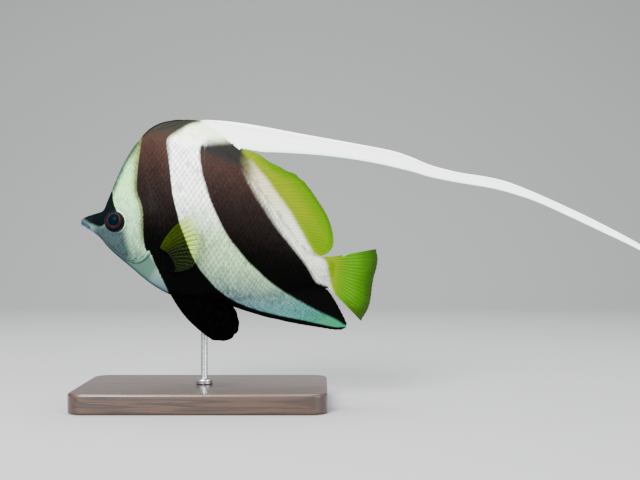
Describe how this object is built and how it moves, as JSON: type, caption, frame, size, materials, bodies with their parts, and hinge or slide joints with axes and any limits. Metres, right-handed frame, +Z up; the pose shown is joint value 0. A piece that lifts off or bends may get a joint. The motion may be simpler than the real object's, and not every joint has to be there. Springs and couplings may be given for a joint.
{
  "type": "pennant coralfish",
  "caption": "Pennant coralfish, life size, banded, with a long trailing dorsal pennant, swimming on a plain display stand.",
  "frame": {"origin": "centre of the underside of the stand's base", "axes": "+Z up; the fish faces -X with its tail and pennant to +X and its left flank to -Y"},
  "size_m": [0.3795, 0.09, 0.1733],
  "materials": {
    "skin": "satin scales, banded black",
    "gill_cover": "satin, black at its rear",
    "eye": "wet, glossy",
    "fin_white": "satin membrane with rays",
    "fin_yellow": "satin membrane with rays",
    "fin_black": "satin membrane with rays",
    "stand_wood": "satin dark wood",
    "stand_steel": "brushed"
  },
  "bodies": {
    "root": {"head": "skin", "trunk": "skin", "tail_stalk": "skin", "gill_cover_left": "gill_cover", "gill_cover_right": "gill_cover", "eye_left": "eye", "eye_right": "eye", "dorsal_fin_spines": "fin_white", "pennant_root": "fin_white", "pennant_middle": "fin_white", "pennant_tip": "fin_white", "dorsal_fin_soft": "fin_yellow", "anal_fin": "fin_white", "caudal_fin": "fin_yellow", "pectoral_fin_left": "fin_yellow", "pectoral_fin_right": "fin_yellow", "pelvic_fin_left": "fin_black", "pelvic_fin_right": "fin_black", "stand_base": "stand_wood", "stand_rod": "stand_steel"}
  },
  "joints": []
}
